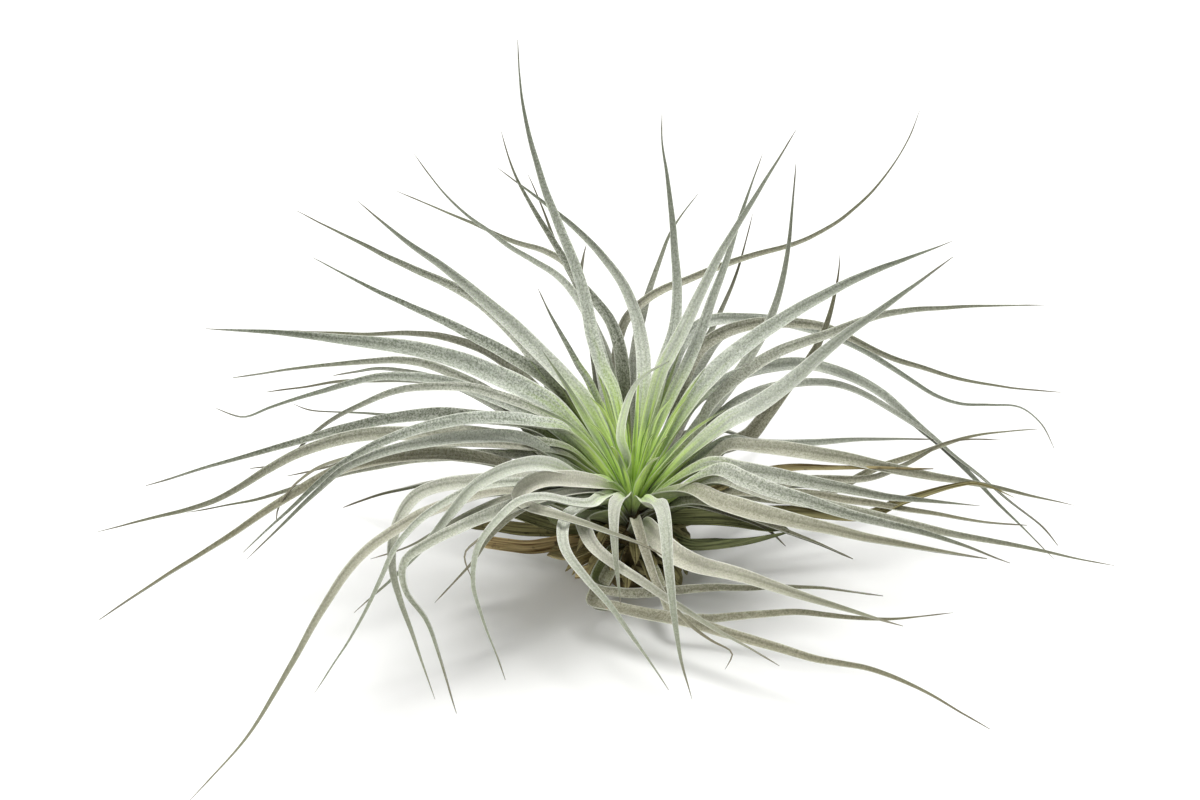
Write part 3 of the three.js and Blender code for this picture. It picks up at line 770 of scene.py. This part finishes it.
# Leaves that arch behind the plant: azimuth, youth, width in mm, and the route in mm in the frame itself.
BACK_LEAVES = (
    (75, 0.40, 5.0, (12, 25, 30), (20, 50, 34), (28, 75, 26), (32, 97, 10)),
    (95, 0.30, 4.6, (-2, 25, 26), (-6, 52, 28), (-10, 78, 20), (-14, 99, 6)),
    (110, 0.45, 5.4, (-12, 24, 32), (-24, 50, 40), (-34, 74, 38), (-44, 95, 28)),
    (125, 0.25, 4.8, (-20, 22, 24), (-42, 42, 26), (-62, 60, 18), (-80, 76, 5)),
    (138, 0.50, 5.0, (-26, 24, 34), (-52, 46, 42), (-76, 66, 40), (-98, 84, 30)),
    (65, 0.10, 4.4, (10, 22, 20), (20, 42, 18), (30, 60, 10), (38, 76, 1.5)),
    (85, 0.05, 4.4, (2, 20, 16), (4, 40, 14), (8, 58, 6), (10, 70, 1.5)),
    (152, 0.12, 4.6, (-28, 14, 20), (-52, 26, 20), (-74, 36, 12), (-92, 44, 2)),
    (45, 0.15, 4.6, (20, 20, 18), (36, 36, 16), (50, 50, 9), (60, 62, 1.5)),
    (28, 0.12, 4.8, (24, 14, 18), (48, 26, 18), (70, 36, 12), (88, 44, 3)),
    (100, 0.60, 5.2, (-6, 22, 44), (-12, 46, 62), (-16, 70, 70), (-14, 96, 72)),
    (60, 0.55, 5.0, (12, 24, 40), (24, 48, 52), (36, 72, 54), (46, 96, 46)),
)
for number, (azimuth, youth, width, *route) in enumerate(BACK_LEAVES, 1):
    points, sides = free_path(azimuth, youth, [])
    for spot in route:
        points.append(Vector(spot) * MM)
        sides.append(squared(sides[-1], (points[-1] - points[-2]).normalized()))
    grow_leaf(f"rear_blade_{number:02d}", points, sides, FULLER * width * MM, grey_felt, "leaf_grey_green",
              Seed=200 + number, youth=youth, Tone=scatter(number, 0.3, 0.6), Roll=0.0,
              Twist=scatter(number, -0.6, 0.6), Dry_tip=scatter(number, 0.1, 0.3))

# The young leaves of the heart: short, upright and bright, in the same spiral, the youngest all but straight
# up. In each pair the first value is the first leaf's and the second the youngest one's.
YOUNG_LEAVES = 22
SPIRAL_STEP = 137.5  # degrees from one leaf to the next
FIRST_YOUNG = 77  # the first one's place on the spiral
YOUNG_LENGTHS = (58, 24)  # mm, and how much one leaf differs from the next
LENGTH_SPREAD = 8
FRONT_SHORTER = 0.35  # the share that a leaf at the very front is shorter
YOUNG_PITCHES = (50, 84)  # degrees above level
YOUNG_FEET = (3.2, 1.0)  # mm from the axis, and the height
YOUNG_FOOT_HEIGHTS = (27, 29)
YOUNG_STEPS = 5
for number in range(YOUNG_LEAVES):
    share = number / (YOUNG_LEAVES - 1)
    azimuth = SPIRAL_STEP * (FIRST_YOUNG + number)
    outward = heading(azimuth, 0)
    length = (between(*YOUNG_LENGTHS, share) + scatter(number, -LENGTH_SPREAD, LENGTH_SPREAD)) * MM
    length *= 1 - FRONT_SHORTER * max(0, -outward.y)
    foot_height = Vector((0, 0, between(*YOUNG_FOOT_HEIGHTS, share)))
    points = [(outward * between(*YOUNG_FEET, share) + foot_height) * MM]
    for k in range(YOUNG_STEPS):
        bend = scatter(number + 5, 2, 9) * (k + 1 - YOUNG_STEPS / 2)
        pitch = between(*YOUNG_PITCHES, share) - bend
        points.append(points[-1] + heading(azimuth, pitch) * length / YOUNG_STEPS)
    sides = [Vector((0, 0, 1)).cross(outward)] * len(points)
    grow_leaf(f"young_blade_{number + 1:02d}", points, sides, scatter(number, 3.0, 5.2) * MM, grey_felt,
              "leaf_grey_green", Seed=300 + number, youth=1.0, Tone=scatter(number, 0.6, 0.9),
              Twist=scatter(number + 2, -0.5, 0.5), Dry_tip=0.0)

# ----------------------------------------------------------
# Old leaves and stubs low on the stem: cut back or dried out, with no felt left. They are dead leaf tissue,
# still rooted in the stem.

# Dried leaf: dull, from olive to tan by its tone, ribbed lengthwise about every 0.6 mm, with rotten blots.
dry_leaf, tree, shader = start_material("dried_leaf", Roughness=0.75, Specular_IOR_Level=0.3)
place = add(tree, "ShaderNodeTexCoord").outputs["Object"]
held = {key: add(tree, "ShaderNodeAttribute", attribute_name=key).outputs["Fac"]
        for key in ("run", "across", "tone")}
lengthwise = add(tree, MATH, {0: held["run"], 1: 20 * MM}, operation="DIVIDE")
crosswise = add(tree, MATH, {0: held["across"], 1: 0.6 * MM}, operation="DIVIDE")
rib_place = add(tree, "ShaderNodeCombineXYZ", {"X": lengthwise, "Y": crosswise, "Z": held["tone"]})
ribs = add(tree, NOISE, {"Vector": rib_place, "Scale": 1.0, "Detail": 4})
ribs = add(tree, RANGE, {"Value": ribs, "From Min": 0.34, "From Max": 0.64})
blots = add(tree, NOISE, {"Vector": place, "Scale": 1 / (3 * MM), "Detail": 5, "Roughness": 0.7})
tan = add(tree, MIX, {"Factor": ribs, "A": linear("#6f5630"), "B": linear("#dfc894")}, **COLOURS)
olive = add(tree, MIX, {"Factor": ribs, "A": linear("#2c3417"), "B": linear("#7f8559")}, **COLOURS)
colour = add(tree, MIX, {"Factor": held["tone"], "A": olive, "B": tan}, **COLOURS)
rotten = add(tree, RANGE, {"Value": blots, "From Min": 0.56, "From Max": 0.7, "To Max": 0.8})
colour = add(tree, MIX, {"Factor": rotten, "A": colour, "B": linear("#2c2013")}, **COLOURS)
relief = add(tree, "ShaderNodeBump", {"Height": ribs, "Strength": 0.8, "Distance": 0.25 * MM})
finish_surface(tree, shader, colour, relief)

# Azimuth, youth, width in mm, tone from olive to tan, where it starts to narrow, and the route as seen.
OLD_LEAVES = (
    (215, 0.12, 6.6, 0.15, 0.9, (-14, -14, -10), (-23, -11, -16), (-39, -6, -22)),
    (240, 0.02, 6.0, 0.5, 0.97, (-12, -20, -12), (-19, -20, -14), (-25.4, -18.8, -15)),
    (252, 0.02, 6.0, 0.75, 0.97, (-8, -22, -12), (-13, -24.5, -14), (-17, -25.7, -14.5)),
    (300, 0.08, 8.0, 0.0, 0.5, (12, -14, -8), (20, -17, -12), (34, -15.5, -16), (47, -12, -20)),
    (5, 0.30, 4.0, 0.5, 0.3, (18, 2, 0), (41, 6, 0), (65, 7, 0), (90, 7, 0)),
    (350, 0.20, 4.2, 0.3, 0.6, (20, -4, -4), (44, -6, -8), (68, -7.5, -10), (80, -3, -10), (98, 2, -10),
     (105, 2, -10), (114, -1.5, -10)),
)
OLD_VEINS = {"Vein_height": 0.14 * MM, "Vein_spacing": 1.4 * MM}
for number, (azimuth, youth, width, tone, tapers, *route) in enumerate(OLD_LEAVES, 1):
    points, sides = free_path(azimuth, youth, route)
    grow_leaf(f"old_blade_{number:02d}", points, sides, FULLER * width * MM, dry_leaf, "leaf_dry",
              Seed=400 + number, youth=youth, Tone=tone, Twist=scatter(number, -0.5, 0.5),
              Tapers_from=tapers, **OLD_VEINS)

# The cut leaves of the CAD model: their tone, and where they start to narrow.
CUT_LEAVES = {"cut_leaf_01": (0.3, 0.97), "cut_leaf_02": (0.95, 0.97), "cut_leaf_03": (0.05, 0.9)}
CUT_FULLER = 1.5
for name, (tone, tapers) in CUT_LEAVES.items():
    points, sides, width = read_blade(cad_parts[name])
    grow_leaf(name.replace("leaf", "blade"), points, sides, CUT_FULLER * width, dry_leaf, "leaf_dry", [name],
              Seed=420, Tone=tone, Tapers_from=tapers, **OLD_VEINS)

# The papery remains of fallen leaves: short olive and tan scales round the stem in the same spiral.
SHEATH_SCALES = 44
SPIRAL_START = 0.4
SCALE_HEIGHTS = (2.2, 21.2)  # mm, the lowest scale's foot and the highest one's
SCALE_RADIUS = 5.4  # mm from the axis, and how much more halfway up
SCALE_BULGE = 2
SCALE_DROOP = ((0.4, 0), (0.75, 12), (1, 30))  # shares of the length, and degrees below the first pitch
for number in range(SHEATH_SCALES):
    share = number / (SHEATH_SCALES - 1)
    azimuth = SPIRAL_STEP * (number + SPIRAL_START)
    outward = heading(azimuth, 0)
    foot = Vector((0, 0, between(*SCALE_HEIGHTS, share) * MM))
    foot += outward * (SCALE_RADIUS + SCALE_BULGE * math.sin(math.pi * share)) * MM
    length = scatter(number, 9, 19) * MM
    pitch = scatter(number + 3, 10, 75)
    points = [foot] + [foot + heading(azimuth, pitch - droop) * length * part for part, droop in SCALE_DROOP]
    sides = [Vector((0, 0, 1)).cross(outward)] * len(points)
    mesh = run_tree(leaf, midrib_mesh(points, sides), Width=scatter(number + 1, 5, 8) * MM,
                    Material=dry_leaf, Seed=500 + number, Tone=scatter(number, 0.1, 0.8), Tapers_from=0.7,
                    Sheath_flare=1.0, Midrib_thickness=0.6 * MM, Twist=scatter(number, -0.8, 0.8),
                    Step=0.8 * MM)
    mesh.name = f"sheath_scale_{number + 1:02d}"
    place_piece(mesh.name, mesh)

# ----------------------------------------------------------
# The table: a pale matt surface, lit by a large soft overhead light, a soft light from the front left and an
# even white surround.

# Uncoated paper: matt and all but white.
matt_white = start_material("matt_white_paper", Roughness=0.9, Base_Color=linear("#f4f4f2"))[0]
REACH = 6
floor_mesh = bpy.data.meshes.new("table_top")
floor_mesh.from_pydata([(-REACH, -REACH, 0), (REACH, -REACH, 0), (REACH, REACH, 0), (-REACH, REACH, 0)], [],
                       [(0, 1, 2, 3)])
floor_mesh.materials.append(matt_white)
floor = add_object("table_top", floor_mesh)

world = bpy.data.worlds.new("white_surround")
world.use_nodes = True
world.node_tree.nodes["Background"].inputs["Color"].default_value = (1, 1, 1, 1)
world.node_tree.nodes["Background"].inputs["Strength"].default_value = 0.37
bpy.context.scene.world = world

LIT_SPOT = Vector((0, 0, 40 * MM))
for name, place, spread, watts in (("overhead_softbox", (0.8, 0.5, 6.0), 3.6, 350),
                                   ("front_left_softbox", (-1.0, -1.9, 1.7), 1.0, 32)):
    light = bpy.data.lights.new(name, "AREA")
    light.size = spread
    light.energy = watts
    lamp = add_object(name, light)
    lamp.location = place
    lamp.rotation_euler = (LIT_SPOT - lamp.location).to_track_quat("-Z", "Y").to_euler()

# The camera: in front and a little above, aimed just above the heart of the rosette.
LENS_SHARE = 2278 / 1200  # focal length as a share of the picture's width
SENSOR = 36
camera_data = bpy.data.cameras.new("photo_view")
camera_data.sensor_width = SENSOR
camera_data.lens = SENSOR * LENS_SHARE
camera = add_object("photo_view", camera_data)
camera.location = CAMERA_PLACE
camera.rotation_euler = (math.pi / 2 - VIEW_ELEVATION, 0, 0)
bpy.context.scene.camera = camera
bpy.context.scene.view_settings.view_transform = "Standard"
